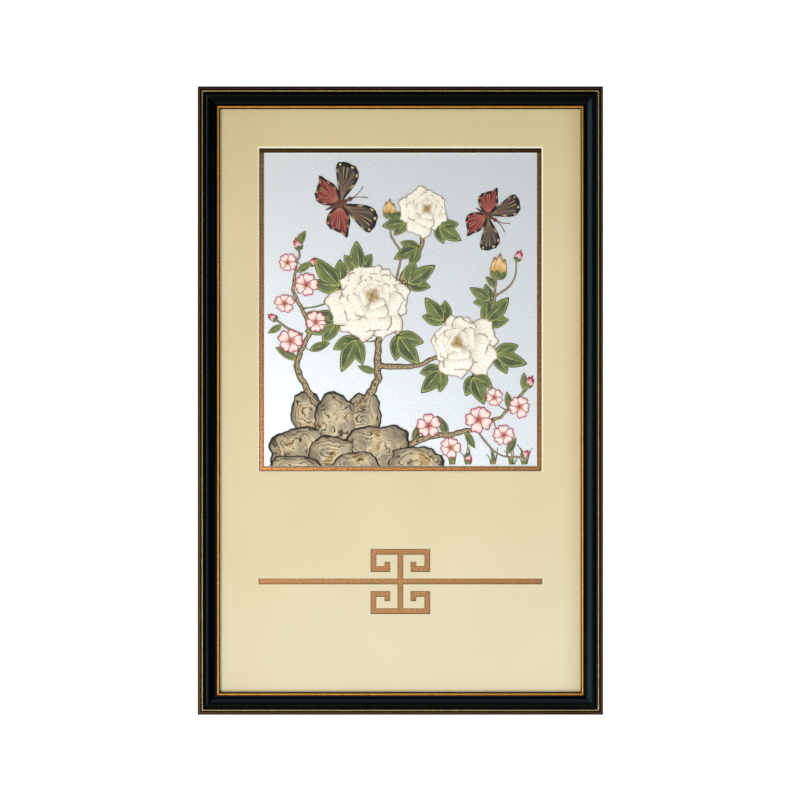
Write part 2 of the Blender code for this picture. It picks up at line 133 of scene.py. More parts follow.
def place_in(material):
    """Where each point of a piece is, in metres."""
    return material.node_tree.nodes.new("ShaderNodeTexCoord").outputs["Object"]


def grain(material, size, detail=2.0, stretch=(1, 1, 1)):
    """Uneven patches of this size, in metres, drawn out along an axis by a small stretch."""
    laid = pattern("Mapping", {"Vector": place_in(material), "Scale": stretch}).outputs["Vector"]
    values = {"Vector": laid, "Scale": 1 / size, "Detail": detail}
    return pattern("TexNoise", values).outputs["Fac"]


def tones(factor, *stops):
    """Colours that run into each other, each stop a share and a paint."""
    ramp = pattern("ValToRGB", {"Fac": factor})
    while len(ramp.color_ramp.elements) < len(stops):
        ramp.color_ramp.elements.new(0.5)
    for element, (share, code) in zip(ramp.color_ramp.elements, stops):
        element.position = share
        element.color = tint(code)
    return ramp.outputs["Color"]


def span(factor, *limits):
    """A share that goes from the third limit to the last as the factor goes from low to high."""
    sockets = ("From Min", "From Max", "To Min", "To Max")
    return pattern("MapRange", {"Value": factor, **dict(zip(sockets, limits))}).outputs["Result"]


def roughen(height, depth):
    """Relief of this depth, in metres, that the light shows and the outline does not."""
    bump = pattern("Bump", {"Height": height, "Distance": depth, "Strength": 1.0})
    feed("Normal", bump.outputs["Normal"])


def mottled(name, values, patches, stops, roughness=None, depth=None):
    """A material in uneven patches of these tones, which its roughness and relief can follow."""
    material = new_material(name, values)
    uneven = grain(material, *patches)
    feed("Base Color", tones(uneven, *stops))
    if roughness:
        feed("Roughness", span(uneven, 0.3, 0.7, *roughness))
    if depth:
        roughen(uneven, depth)
    return material


sheen = {"Specular IOR Level": 0.08, "Specular Tint": tint("b8dce6")}
lacquer = mottled("black_lacquer", sheen, (0.02,), ((0.3, "010203"), (0.7, "020405")))
feed("Roughness", span(grain(lacquer, 0.004), 0.3, 0.7, 0.09, 0.14))
roughen(grain(lacquer, 0.002), 0.000005)

gilded, worn = {"Metallic": 0.75}, (0.0016, 4)
gilt_tones = ((0.3, "b5771f"), (0.5, "c98b32"), (0.72, "d69c44"))
gilt = mottled("rubbed_gilt", gilded, worn, gilt_tones, (0.5, 0.34), 0.00002)
dull_tones = ((0.3, "927744"), (0.5, "a88c52"), (0.72, "b59b62"))
dull_gilt = mottled("dull_gilt", gilded, worn, dull_tones, (0.5, 0.34))
umber_tones = ((0.3, "512d14"), (0.7, "6b3f1e"))
umber = mottled("umber_line", {"Metallic": 0.4}, (0.0014, 4), umber_tones, (0.55, 0.4))

rail_finishes = {"lacquer": lacquer, "gilt": gilt, "dull": dull_gilt, "umber": umber}
bare_wood = {}
wood_tones = ((0.3, "9c7a4e"), (0.52, "bb9a6b"), (0.7, "cfb184"))
for lie, stretch in (("level", (0.06, 1, 1)), ("upright", (1, 1, 0.06))):
    rings = (0.004, 5, stretch)
    wood = mottled("bare_wood_" + lie, {"Roughness": 0.75}, rings, wood_tones, depth=0.00008)
    bare_wood[lie] = wood


def arc(across, height, radius_x, radius_y, start, end, steps):
    """Points on an elliptic arc, with its angles in degrees."""
    turns = [radians(start + (end - start) * i / steps) for i in range(steps + 1)]
    return [(across + radius_x * cos(t), height + radius_y * sin(t)) for t in turns]


def moulding_section():
    """Corners of the section from its outer edge inwards, each with the finish that follows it."""
    floor = shoulder_height - groove_drop
    line = edge_round + rim_width
    groove = line + line_width
    bead = groove + groove_width
    field = bead + outer_bead_width
    facet = field + field_width
    crest = facet + facet_width
    sight_floor = rabbet_depth + lip_thickness
    sight_end = rail_width - lip_width
    sight_start = sight_end - sight_bead_width
    step = sight_start - step_width
    wall = rail_width - rabbet_width
    field_top, step_top = floor + field_rise, sight_floor + step_drop
    outer_bead = (bead + outer_bead_width / 2, floor, outer_bead_width / 2, outer_bead_rise)
    sight_half = sight_bead_width / 2
    sight_bead = (sight_start + sight_half, sight_floor, sight_half, sight_bead_rise)
    cove = (step - cove_inset, step_top + cove_rise, cove_radius, cove_radius)
    edge = (edge_round, shoulder_height - edge_round, edge_round, edge_round)
    runs = (
        ("lacquer", [(0, 0)] + arc(*edge, 180, 90, 8)[:-1]),
        ("lacquer", [(edge_round, shoulder_height)]),
        ("umber", [(line, shoulder_height)]),
        ("lacquer", [(groove, shoulder_height), (groove + wall_lean, floor)]),
        ("lacquer", arc(*outer_bead, 180, 122, 5)[:-1]),
        ("dull", arc(*outer_bead, 122, 30, 9)[:-1]),
        ("lacquer", arc(*outer_bead, 30, 0, 3)[:-1]),
        ("lacquer", [(field, floor), (field + field_ease, floor + wall_lean)]),
        ("lacquer", [(facet - field_ease, field_top), (facet, field_top + wall_lean)]),
        ("lacquer", arc(crest, rail_depth - crest_round, crest_round, crest_round, 150, 48, 8)),
        ("lacquer", arc(*cove, 228, 260, 4)),
        ("lacquer", [(step, step_top), (step + wall_lean / 2, sight_floor)]),
        ("gilt", arc(*sight_bead, 180, 0, 16)[:-1]),
        ("lacquer", [(sight_end, sight_floor), (rail_width - lip_width / 4, sight_floor)]),
        ("lacquer", [(rail_width, sight_floor - lip_width / 2)]),
        ("wood", [(rail_width, rabbet_depth), (wall, rabbet_depth), (wall, 0)]),
    )
    return [(corner, finish) for finish, corners in runs for corner in corners]


def edit(piece):
    """Opens one piece in edit mode, with all of it selected."""
    deselect()
    piece.select_set(True)
    bpy.context.view_layer.objects.active = piece
    bpy.ops.object.mode_set(mode="EDIT")
    bpy.ops.mesh.select_all(action="SELECT")


def leave_edit():
    bpy.ops.object.mode_set(mode="OBJECT")


def close(angle=30):
    """Leaves edit mode with the faces turned outwards, and smooths all but the sharp edges."""
    bpy.ops.mesh.select_all(action="SELECT")
    bpy.ops.mesh.normals_make_consistent(inside=False)
    leave_edit()
    bpy.ops.object.shade_smooth_by_angle(angle=radians(angle))


def outline_face(name, corners):
    """A flat piece of one face with these corners, in X and Y."""
    deselect()
    bpy.ops.mesh.primitive_circle_add(vertices=len(corners), radius=0.01, fill_type="NGON")
    piece = bpy.context.object
    piece.name = piece.data.name = name
    for vertex, corner in zip(piece.data.vertices, corners):
        vertex.co.xy = corner
    return piece


def draw_out(distance):
    bpy.ops.mesh.extrude_region_move(TRANSFORM_OT_translate={"value": (0, 0, distance)})


def make_moulding(name, length, span_across, turn, node):
    """One length drawn out of the section, mitred at both ends and laid on its side."""
    section = moulding_section()
    rail = outline_face(name, [corner for corner, finish in section])
    edit(rail)
    bpy.ops.transform.translate(value=(0, 0, -length / 2))
    draw_out(length)
    close()
    for vertex in rail.data.vertices:
        vertex.co.z -= copysign(vertex.co.x + mitre_gap, vertex.co.z)
    ends = [corner for corner, finish in section] + [section[0][0]]
    middles = [(Vector(a) + Vector(b)) / 2 for a, b in zip(ends, ends[1:])]
    order = list(rail_finishes) + ["wood"]
    for material in (*rail_finishes.values(), bare_wood["upright" if turn % 180 else "level"]):
        rail.data.materials.append(material)
    for face in rail.data.polygons:
        face.material_index = order.index("wood")
        if len(face.vertices) == 4:
            place = sum((rail.data.vertices[v].co for v in face.vertices), Vector()) / 4
            near = min(range(len(section)), key=lambda i: (middles[i] - place.xy).length)
            face.material_index = order.index(section[near][1])
    lay = Matrix(((0, 0, -1, 0), (0, -1, 0, frame_back), (-1, 0, 0, span_across / 2), (0, 0, 0, 1)))
    place = Matrix.Translation(middle) @ Matrix.Rotation(radians(turn), 4, "Y")
    rail.data.transform(place @ lay)
    edit(rail)
    close()
    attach(rail, "root")
    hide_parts(node)


make_moulding("moulding_top", frame_width, frame_height, 0, "frame_rail_top")
make_moulding("moulding_right", frame_height, frame_width, 90, "frame_rail_right")
make_moulding("moulding_bottom", frame_width, frame_height, 180, "frame_rail_bottom")
make_moulding("moulding_left", frame_height, frame_width, 270, "frame_rail_left")

# ---------------------------------------- Cream window mat
# Four-ply mat board, faced with cream paper over a white core. The window is
# cut with a leaning blade, so its core shows. The fretwork's cut edges carry a
# near-black painted shade, and the paper has painted shade towards the top and
# painted light towards the bottom.

pack_width = 0.370
pack_height = 0.593
mat_front = -0.0147
mat_back = -0.0133
window_width = 0.2833
window_height = 0.3239
window_middle = -0.2148
fret_stroke = 0.0047
fret_width = 0.0587
fret_height = 0.0642
fret_hook_edge = 0.0101
fret_hook_reach = 0.0107
fret_tip_height = 0.0091
fret_middle = -0.487375
fret_bevel = 0.0005
painted_shade_zone = (-0.2, -0.02)
painted_light_zone = (-0.35, -0.55)


def axes_of(vector):
    return pattern("SeparateXYZ", {"Vector": vector}).outputs


def maths(operation, *values):
    """The result of one sum on up to three values."""
    return pattern("Math", dict(enumerate(values)), operation).outputs["Value"]


def layered(colour, *coats):
    """A colour with coats laid over it in turn, each a share and a paint."""
    for share, paint in coats:
        values = {"Fac": share, "Color1": colour, "Color2": tint(paint)}
        colour = pattern("MixRGB", values).outputs["Color"]
    return colour


cream_paper = new_material("cream_paper", {"Roughness": 0.85, "Specular IOR Level": 0.2})
fibres = grain(cream_paper, 0.0012, 6)
cloudy = grain(cream_paper, 0.1, 1)
mixed = span(maths("ADD", fibres, cloudy), 0.6, 1.4)
cream = tones(mixed, (0, "d4caa7"), (0.5, "d9cfad"), (1, "ddd4b4"))
# Painted shade darkens the paper towards the top; painted light brightens it towards the bottom.
level = axes_of(place_in(cream_paper))["Z"]
upper, painted_light_share = span(level, *painted_shade_zone, 0, 0.5), span(level, *painted_light_zone, 0, 0.5)
cream = layered(cream, (upper, "c9bf91"), (painted_light_share, "dbd9c3"))
feed("Base Color", cream)
roughen(fibres, 0.00004)

pulp = (0.001, 4)
core_look = {"Roughness": 0.9, "Specular IOR Level": 0.2}
white_core = mottled("white_core", core_look, pulp, ((0.3, "efe8d2"), (0.7, "fbf7ea")))
# Near-black paint for the fretwork's cut edges: a painted shade line.
edge_look = {"Roughness": 0.8, "Specular IOR Level": 0.1}
fret_painted_shade = mottled("fret_painted_shade", edge_look, pulp, ((0.3, "160b04"), (0.7, "32190a")))


def rectangle(width, height, centre):
    """Corners of an upright rectangle, anticlockwise, about this height."""
    x, z = width / 2, height / 2
    return [(x, centre + z), (-x, centre + z), (-x, centre - z), (x, centre - z)]


def fret_outline():
    """The fretwork's outline, from one quarter mirrored each way."""
    half = fret_stroke / 2
    side, end = fret_width / 2, fret_height / 2
    hook = fret_hook_edge + fret_stroke
    tip = fret_hook_edge + fret_tip_height
    reach = fret_hook_reach + fret_stroke
    quarter = [(window_width / 2, half), (half, half), (half, end - fret_stroke)]
    quarter += [(side - fret_stroke, end - fret_stroke), (side - fret_stroke, hook), (reach, hook)]
    quarter += [(reach, tip), (fret_hook_reach, tip), (fret_hook_reach, fret_hook_edge)]
    quarter += [(side, fret_hook_edge), (side, end)]
    upper = quarter + [(-x, z) for x, z in reversed(quarter)]
    whole = upper + [(x, -z) for x, z in reversed(upper)]
    return [(x, fret_middle + z) for x, z in whole]


def grown(corners, by):
    """The corners of a square-cornered outline, each of its edges moved out by this much."""
    moved = []
    for number, corner in enumerate(corners):
        before, here = Vector(corners[number - 1]), Vector(corner)
        after = Vector(corners[(number + 1) % len(corners)])
        first, second = (here - before).normalized(), (after - here).normalized()
        moved.append(here + by * Vector((first.y + second.y, -first.x - second.x)))
    return moved


def cut_opening(board, corners, front, back, bevel):
    """Cuts an opening through a board, its edge leaning out towards the front by the bevel."""
    past = 0.001
    lean = past * (bevel / (back - front))
    mouth, throat = grown(corners, bevel + lean), grown(corners, -lean)
    cutter = outline_face("blade", throat)
    edit(cutter)
    draw_out(1)
    leave_edit()
    for vertex in cutter.data.vertices:
        number = min(range(len(throat)), key=lambda i: (throat[i] - vertex.co.xy).length)
        ahead = vertex.co.z > 0.5
        x, z = mouth[number] if ahead else throat[number]
        vertex.co = (x, front - past if ahead else back + past, z)
    edit(cutter)
    close()
    deselect()
    bpy.context.view_layer.objects.active = board
    cutting = board.modifiers.new("opening", "BOOLEAN")
    cutting.operation = "DIFFERENCE"
    cutting.object = cutter
    cutting.solver = "EXACT"
    bpy.ops.object.modifier_apply(modifier="opening")
    bpy.data.objects.remove(cutter)


def make_board(name, width, height, front, back, centre):
    """A board with its faces at these depths, about this height."""
    board = outline_face(name, rectangle(width, height, centre))
    edit(board)
    draw_out(back - front)
    leave_edit()
    for vertex in board.data.vertices:
        x, z, depth = vertex.co
        vertex.co = (x, front + depth, z)
    edit(board)
    close()
    return board


def face_board(board, paper, core):
    """Gives a board its paper on the flat front, and bare core on every other face."""
    board.data.materials.append(paper)
    board.data.materials.append(core)
    for face in board.data.polygons:
        face.material_index = 0 if face.normal.y < -0.99 else 1
    edit(board)
    bpy.ops.mesh.quads_convert_to_tris()
    bpy.ops.mesh.faces_shade_flat()
    leave_edit()


cream_mat = make_board("cream_window_mat", pack_width, pack_height, mat_front, mat_back, middle.z)
window = rectangle(window_width, window_height, window_middle)
cut_opening(cream_mat, window, mat_front, mat_back, mat_back - mat_front)
cut_opening(cream_mat, fret_outline(), mat_front, mat_back, fret_bevel)
face_board(cream_mat, cream_paper, white_core)
cream_mat.data.materials.append(fret_painted_shade)
# The fretwork's cut faces take the painted shade.
for face in cream_mat.data.polygons:
    x, _, z = face.center
    in_fret = abs(z - fret_middle) < fret_height and abs(x) < window_width / 2 + fret_stroke
    if in_fret and abs(face.normal.y) < 0.99:
        face.material_index = 2
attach(cream_mat, "root")
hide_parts("mat_board")

# ---------------------------------------- Bronze under-mat
# A second mat, faced with flecked bronze paper, lies behind the cream one. It
# shows as a narrow line round the window, with painted shade along both its
# edges and a painted shadow along its top, and duller in the fretwork.

bronze_front = -0.0130
bronze_back = -0.0116
bronze_reveal = 0.0047
straight_lean = 0.0001
painted_shade_line = 0.0012
painted_shade_core = 0.0004
painted_shadow_fade = 0.001
fret_zone = (-0.4, -0.44)
picture_width = window_width - 2 * bronze_reveal
picture_height = window_height - 2 * bronze_reveal

bronze_paper = new_material("bronze_paper", {})
flecks = grain(bronze_paper, 0.0013, 5)
bronze = tones(flecks, (0.34, "5e3d20"), (0.48, "9c6d40"), (0.6, "cb9762"))
axes = axes_of(place_in(bronze_paper))
aside = maths("ABSOLUTE", axes["X"])
upright = maths("ABSOLUTE", maths("SUBTRACT", axes["Z"], window_middle))
# Painted shade: dark lines along the outer and inner edges of the bronze line.
for width, height in ((window_width, window_height), (picture_width, picture_height)):
    past_side = maths("SUBTRACT", aside, width / 2)
    past_end = maths("SUBTRACT", upright, height / 2)
    edge = maths("ABSOLUTE", maths("MAXIMUM", past_side, past_end))
    line = span(edge, painted_shade_line, painted_shade_core, 0, 0.82)
    bronze = layered(bronze, (line, "2e1404"))
# Painted shadow: the top of the bronze line is darkened as if shaded by the cream mat above it.
top = window_middle + picture_height / 2
painted_top_shadow = span(axes["Z"], top - painted_shadow_fade, top + painted_shadow_fade, 0, 0.72)
matt = span(axes["Z"], *fret_zone, 0, 0.4)
bronze = layered(bronze, (painted_top_shadow, "2e1404"), (matt, "8e6234"))
feed("Base Color", bronze)
feed("Metallic", span(axes["Z"], *fret_zone, 1, 0.35))
feed("Roughness", span(flecks, 0.3, 0.7, 0.38, 0.28))
roughen(flecks, 0.00005)

bronze_depth = (bronze_front, bronze_back)
bronze_mat = make_board("bronze_window_mat", pack_width, pack_height, *bronze_depth, middle.z)
picture = rectangle(picture_width, picture_height, window_middle)
cut_opening(bronze_mat, picture, *bronze_depth, straight_lean)
face_board(bronze_mat, bronze_paper, white_core)
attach(bronze_mat, "root")
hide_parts("bronze_under_mat")

# ---------------------------------------- Silver plate
# A thin silver-faced plate, embossed and then painted. Its ground is left a
# satin silver, with a fine even grain from the press.

plate_front = -0.0113
plate_back = -0.0103
plate_overlap = 0.01

silvered, pressed = {"Metallic": 0.5}, (0.0014, 3)
silver_tones = ((0.32, "d8e4f2"), (0.68, "eef7ff"))
satin_silver = mottled("satin_silver", silvered, pressed, silver_tones, (0.44, 0.36), 0.00003)

plate_size = (picture_width + 2 * plate_overlap, picture_height + 2 * plate_overlap)
plate = make_board("silver_plate", *plate_size, plate_front, plate_back, window_middle)
plate.data.materials.append(satin_silver)
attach(plate, "root")
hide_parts("silver_relief")

# ---------------------------------------- Rocks
# The lowest figures of the embossing: weathered garden rocks, painted in grey
# and ochre with inked hatching. They are cut off flat where the mat begins.

unit = picture_height / 100
relief_margin = 0.0006
relief_foot = 0.0005
relief_edge = 0.00025
rock_rise = 0.0007
rock_step = 0.0002
rocks = (
    # x, z, half width, half height, turn in degrees
    (-29, -34, 6, 8, 16),
    (-12, -34, 6, 8, -12),
    (-21, -36, 7.5, 9.5, -8),
    (-32, -45, 10, 8, 8),
    (-7, -44, 11, 8, 6),
    (-22, -46, 8, 6, -6),
    (5, -49, 9, 5.5, 0),
    (-14, -50, 8, 5, 4),
    (-34, -51, 9, 5, 0),
)


def plan_in(material):
    """Where each point is in its figure's flat plan."""
    source = material.node_tree.nodes.new("ShaderNodeUVMap")
    source.uv_map = "plan"
    return source.outputs["UV"]


def plan_of(material):
    """A figure's own plan: the way along, the way across from its middle, and how far out."""
    place = plan_in(material)
    axes = axes_of(place)
    centred = pattern("VectorMath", {0: place, 1: (0.5, 0.5, 0)}, "SUBTRACT").outputs["Vector"]
    reach = pattern("VectorMath", {0: centred}, "LENGTH").outputs["Value"]
    return axes["X"], maths("SUBTRACT", axes["Y"], 0.5), reach


def round_blank(name, sides, rows):
    """The start of every figure: a disc in even rings, with a short wall and a foot."""
    deselect()
    bpy.ops.mesh.primitive_circle_add(vertices=sides, radius=1, fill_type="NGON")
    piece = bpy.context.object
    edit(piece)
    for _ in range(rows - 1):
        bpy.ops.mesh.inset(thickness=cos(pi / sides) / rows)
    bpy.ops.mesh.poke()
    bpy.ops.mesh.select_all(action="SELECT")
    bpy.ops.mesh.region_to_loop()
    draw_out(-1)
    bpy.ops.mesh.edge_face_add()
    close(60)
    plan = piece.data.uv_layers.new(name="plan")
    for loop in piece.data.loops:
        x, y, _ = piece.data.vertices[loop.vertex_index].co
        plan.data[loop.index].uv = (x / 2 + 0.5, y / 2 + 0.5)
    blank = piece.data
    blank.name = name
    bpy.data.objects.remove(piece)
    return blank


def emboss(blank, outline, place, size, turn, lift):
    """Copies a blank to a place on the plate, with this outline and a height at each point."""
    mesh = blank.copy()
    core = (Vector(outline(0)) + Vector(outline(pi))) / 2
    turned = Matrix.Rotation(radians(turn), 2)
    for vertex in mesh.vertices:
        reach = min(vertex.co.xy.length, 1)
        angle = atan2(vertex.co.y, vertex.co.x) if reach > 0.001 else 0
        plan = core + (Vector(outline(angle)) - core) * reach
        height = lift(plan.x, plan.y, reach) if vertex.co.z > -0.5 else -relief_foot
        laid = turned @ Vector((plan.x * size[0], plan.y * size[1])) * unit
        x, z = place[0] * unit + laid.x, place[1] * unit + laid.y
        vertex.co = (x, plate_front - height, window_middle + z)
    figure = bpy.data.objects.new(mesh.name, mesh)
    bpy.context.scene.collection.objects.link(figure)
    return figure


def trim(figure):
    """Cuts a figure off flat where it would run under the bronze mat."""
    for x, z in ((1, 0), (-1, 0), (0, 1), (0, -1)):
        beside = x * (picture_width / 2 - relief_margin)
        above = window_middle + z * picture_height / 2 - z * relief_margin
        edge, outward = Vector((beside, 0, above)), Vector((x, 0, z))
        if any((vertex.co - edge).dot(outward) > 0 for vertex in figure.data.vertices):
            edit(figure)
            bpy.ops.mesh.bisect(plane_co=edge, plane_no=outward, use_fill=True, clear_outer=True)
            leave_edit()


def gather(name, figures, paint):
    """Joins finished figures into one piece of the relief."""
    deselect()
    for figure in figures:
        figure.select_set(True)
    bpy.context.view_layer.objects.active = figures[0]
    bpy.ops.object.join()
    piece = bpy.context.object
    piece.name = piece.data.name = name
    piece.data.materials.append(paint)
    edit(piece)
    close(50)
    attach(piece, "root")
    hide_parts("silver_relief")


def rock_outline(number):
    """A weathered boulder: a little square, and uneven all round."""

    def outline(turn):
        across, up = cos(turn), sin(turn)
        square = (abs(across) ** 2.6 + abs(up) ** 2.6) ** (-1 / 2.6)
        bay = noise.fractal(Vector((1.5 * across, 1.5 * up, 4.1 * number)), 0.8, 2.3, 3)
        return square * (0.94 + 0.16 * bay) * across, square * (0.94 + 0.16 * bay) * up

    return outline


def rock_lift(number, wide, high):
    """The height of a rock: a dome, broken into ledges and hollows, higher for each later rock."""

    def lift(along, across, reach):
        spot = Vector((along * wide / 5, across * high / 5, number * 3.7))
        ledges = noise.ridged_multi_fractal(spot, 0.9, 2.1, 5, 0.9, 2.0)
        dome = sqrt(max(0, 1 - reach**3))
        return relief_edge + rock_step * number + rock_rise * dome * (0.4 + 0.3 * ledges)

    return lift


painted_rock = new_material("painted_rock", {"Roughness": 0.6, "Metallic": 0.05})
along, across, reach = plan_of(painted_rock)
washes = grain(painted_rock, 0.016, 4)
stone_stops = ((0.32, "8d826f"), (0.45, "b3a88e"), (0.56, "d6caab"), (0.66, "b69a68"))
rings = maths("MULTIPLY", reach, 44.0)
contour = maths("MULTIPLY_ADD", grain(painted_rock, 0.014, 5), 32.0, rings)
strokes = maths("SINE", contour)
inked = span(grain(painted_rock, 0.008, 3), 0.4, 0.56, 0.1, 0.95)
hatch = maths("MULTIPLY", span(strokes, 0.45, 0.95), inked)
uneven = maths("MULTIPLY_ADD", grain(painted_rock, 0.004, 3), 0.05, reach)
stone = layered(
    tones(washes, *stone_stops),
    (span(reach, 0.26, 0.49, 0, 0.75), "5a4f43"),
    (hatch, "29231e"),
    (span(uneven, 0.475, 0.495), "1b1714"),
)
feed("Base Color", stone)
roughen(strokes, 0.00015)

rock_blank = round_blank("rock_blank", 84, 20)
figures = []
for number, (x, z, wide, high, turn) in enumerate(rocks):
    lift = rock_lift(number, wide, high)
    outline = rock_outline(number)
    figures.append(emboss(rock_blank, outline, (x, z), (wide, high), turn, lift))
    trim(figures[-1])
gather("relief_rocks", figures, painted_rock)

# ---------------------------------------- Boughs
# Flowering boughs rise from behind the rocks. Each is a rounded ridge with
# bark worked into it, painted grey brown with inked sides and pale lights.

bough_rise = 0.0008
boughs = (
    # half width at the root, half width at the tip, route from root to tip
    (1.5, 0.6, ((-16, -34), (-8, -24), (-7, -12), (-2, 6), (6, 18), (7, 28))),
    (1.0, 0.5, ((-7, -18), (4, -18), (14, -14), (21, -12))),
    (0.7, 0.35, ((22, -8), (29, 0), (30, 5), (31, 10))),
    (1.2, 0.35, ((-27, -30), (-33, -18), (-29, -6), (-34, 6), (-32, 20))),
    (0.6, 0.3, ((-31, -8), (-36, -6), (-40, -3))),
    (1.3, 0.35, ((-4, -46), (8, -41), (20, -39), (32, -34), (41, -24))),
    (0.45, 0.2, ((-4, 0), (0, 16), (-3, 24), (-3.6, 29.5))),
    (0.4, 0.2, ((30, 4), (36, 9), (37, 16))),
    (0.4, 0.2, ((24, -38), (31, -46), (39, -47))),
)


def smooth_route(corners, share):
    """Point and direction at a share of a smooth line through the corners."""
    last = len(corners) - 1
    place = min(share * last, last - 0.0001)
    start = int(place)
    t = place - start
    points = [Vector(corners[min(max(start + i, 0), last)]) for i in (-1, 0, 1, 2)]
    a = points[1]
    b = (points[2] - points[0]) / 2
    c = points[0] - 2.5 * points[1] + 2 * points[2] - points[3] / 2
    d = (points[3] - points[0]) / 2 + 1.5 * (points[1] - points[2])
    return a + b * t + c * t * t + d * t**3, (b + 2 * c * t + 3 * d * t * t).normalized()


def make_bough(root, tip, route, rise, seed=0.0):
    """A ridge laid along a route, gnarled and round above, its foot filled below."""
    length = sum((Vector(b) - Vector(a)).length for a, b in zip(route, route[1:]))
    rows, sides = int(length * 2.2) + 6, 14 if root > 0.35 else 6
    deselect()
    bpy.ops.mesh.primitive_grid_add(x_subdivisions=sides, y_subdivisions=rows, size=2)
    bough = bpy.context.object
    plan = bough.data.uv_layers.active
    plan.name = "plan"
    for vertex in bough.data.vertices:
        across, share = vertex.co.x, (vertex.co.y + 1) / 2
        point, along = smooth_route(route, share)
        spot = Vector((share * length / 2.2, across * 1.4, seed))
        knot = 1 + 0.3 * noise.noise(Vector((share * length / 2, seed, 0)))
        half = (root + (tip - root) * share) * knot
        bow = 0.5 * root * noise.noise(Vector((share * length / 3, 9, seed)))
        turn = across * pi / 2
        bark = 1 + 0.28 * noise.fractal(spot, 0.9, 2.2, 3)
        height = relief_edge + rise * half / root * cos(turn) * bark
        if abs(across) > 0.99 or share < 0.0001 or share > 0.9999:
            height = -relief_foot
        flat = point + Vector((along.y, -along.x)) * (half * sin(turn) + bow)
        vertex.co = (flat.x * unit, plate_front - height, window_middle + flat.y * unit)
    edit(bough)
    bpy.ops.mesh.region_to_loop()
    bpy.ops.mesh.edge_face_add()
    leave_edit()
    return bough


painted_bark = new_material("painted_bark", {"Roughness": 0.6, "Metallic": 0.05})
plan = plan_in(painted_bark)
drawn_out = pattern("Mapping", {"Vector": plan, "Scale": (5, 34, 1)}).outputs["Vector"]
streaks = pattern("TexNoise", {"Vector": drawn_out, "Scale": 1.7, "Detail": 5.0}).outputs["Fac"]
across = axes_of(plan)["X"]
bark_stops = ((0.36, "2f2721"), (0.46, "857359"), (0.56, "c2ae88"), (0.7, "927f61"))
bark = layered(
    tones(streaks, *bark_stops),
    (span(across, 0.42, 0.24, 0, 0.85), "322a24"),
    (span(across, 0.7, 0.8), "241e1a"),
)
feed("Base Color", bark)
roughen(streaks, 0.00015)

figures = [make_bough(*bough, bough_rise, n * 5.3) for n, bough in enumerate(boughs)]
gather("relief_boughs", figures, painted_bark)

# ---------------------------------------- Leaves
# Peony leaves in threes, single leaflets and tufts of grass, on thin stalks. A
# leaf is a low shell creased along its midrib, dark green with a yellow edge.

leaf_rise = 0.0006
stalk_rise = 0.0005
stalk_bow = 0.14
leaves = (
    # x, z of the base, turn in degrees, length, width
    (-19, 7, 132, 13, 5.5),
    (-20, -4, 196, 11, 5),
    (-14, -9, 246, 12, 5),
    (-1, -8, 306, 12, 5.5),
    (2, 8, 34, 11, 5),
    (-13, 12, 96, 10, 4.8),
    (14, -4, 128, 10, 4.8),
    (27, -4, 46, 11, 5),
    (30, -14, -18, 11, 5),
    (23, -21, -68, 10, 5),
    (13, -19, 230, 10, 5),
    (2, 28, 190, 8, 4),
    (12, 27, -34, 9, 4.4),
    (6, 20, 206, 9, 4),
    (29, 3, 150, 8, 3.6),
)
leaflets = (
    # x, z of the base, turn in degrees, length, width
    (-29, -13, 20, 7, 2.8),
    (-33, -16, 150, 8, 3),
    (-31, -2, 12, 6, 2.4),
    (-33, 12, 34, 6, 2.4),
    (-33, 20, 62, 6, 2.6),
    (-38, -5, 210, 5, 2.2),
    (15, -40, 118, 7, 2.8),
    (21, -39, -62, 6, 2.4),
    (35, -32, 100, 6, 2.4),
    (40, -26, 96, 6, 2.6),
    (34, -46, 60, 6, 2.4),
    (30.6, 7, 134, 5, 2.2),
    (4, -42, 70, 6, 2.6),
    (-8, -20, 160, 6, 2.4),
)
grass = ((16, -49.5), (21, -49.5), (29, -49.5), (35, -49.5), (39, -49.5))


def leaf_outline(bend):
    """A leaf from its stalk at 0 to its point at 1, pointed at both ends and fuller on one side."""

    def outline(turn):
        along, across = cos(turn), sin(turn)
        x = (along + 1) / 2
        half = across * abs(across) ** 0.6 * (1 - 0.25 * along) / 2
        return x, half + bend * sin(pi * x)

    return outline


def leaf_lift(low):
    """The height of a leaf: domed, creased along its midrib and waved towards its edge."""

    def lift(along, across, reach):
        dome = sqrt(max(0, 1 - reach**2.4))
        crease = exp(-((across / 0.05) ** 2))
        waves = 0.12 * sin(24 * along - 14 * abs(across)) * min(1, 4 * abs(across))
        return low + leaf_rise * (dome * (1.05 - 0.45 * crease) + waves * dome + 0.15 * reach**8)

    return lift


def make_stalk(x, z, seed, root):
    """A thin stalk to a place from the nearest bough, bowed on its way."""
    routes = [route for _, _, route in boughs]
    spots = [smooth_route(route, i / 30)[0] for route in routes for i in range(31)]
    end = Vector((x, z))
    start = min(spots, key=lambda spot: (spot - end).length)
    sideways = Vector((start.y - end.y, end.x - start.x)) * copysign(1, seed % 2 - 0.5)
    bend = (start + end) / 2 + stalk_bow * sideways
    return make_bough(root, 0.7 * root, (start, bend, end), stalk_rise, seed)


painted_leaf = new_material("painted_leaf", {"Roughness": 0.5, "Metallic": 0.05})
along, across, reach = plan_of(painted_leaf)
off_rib = maths("ABSOLUTE", across)
ribs = maths("MULTIPLY_ADD", off_rib, -1.0, along)
ribs = maths("SINE", maths("MULTIPLY", ribs, 58.0))
leaf_stops = ((0.34, "1d3026"), (0.5, "334d38"), (0.64, "566b40"))
green = layered(
    tones(grain(painted_leaf, 0.012, 4), *leaf_stops),
    (span(across, -0.05, 0.05, 0, 0.24), "8b9a50"),
    (span(reach, 0.36, 0.43, 0, 0.8), "a9b35c"),
    (span(ribs, 0.75, 0.98, 0, 0.6), "aab271"),
    (span(off_rib, 0.04, 0.015), "c3c285"),
    (span(reach, 0.44, 0.465), "1c2419"),
)
feed("Base Color", green)

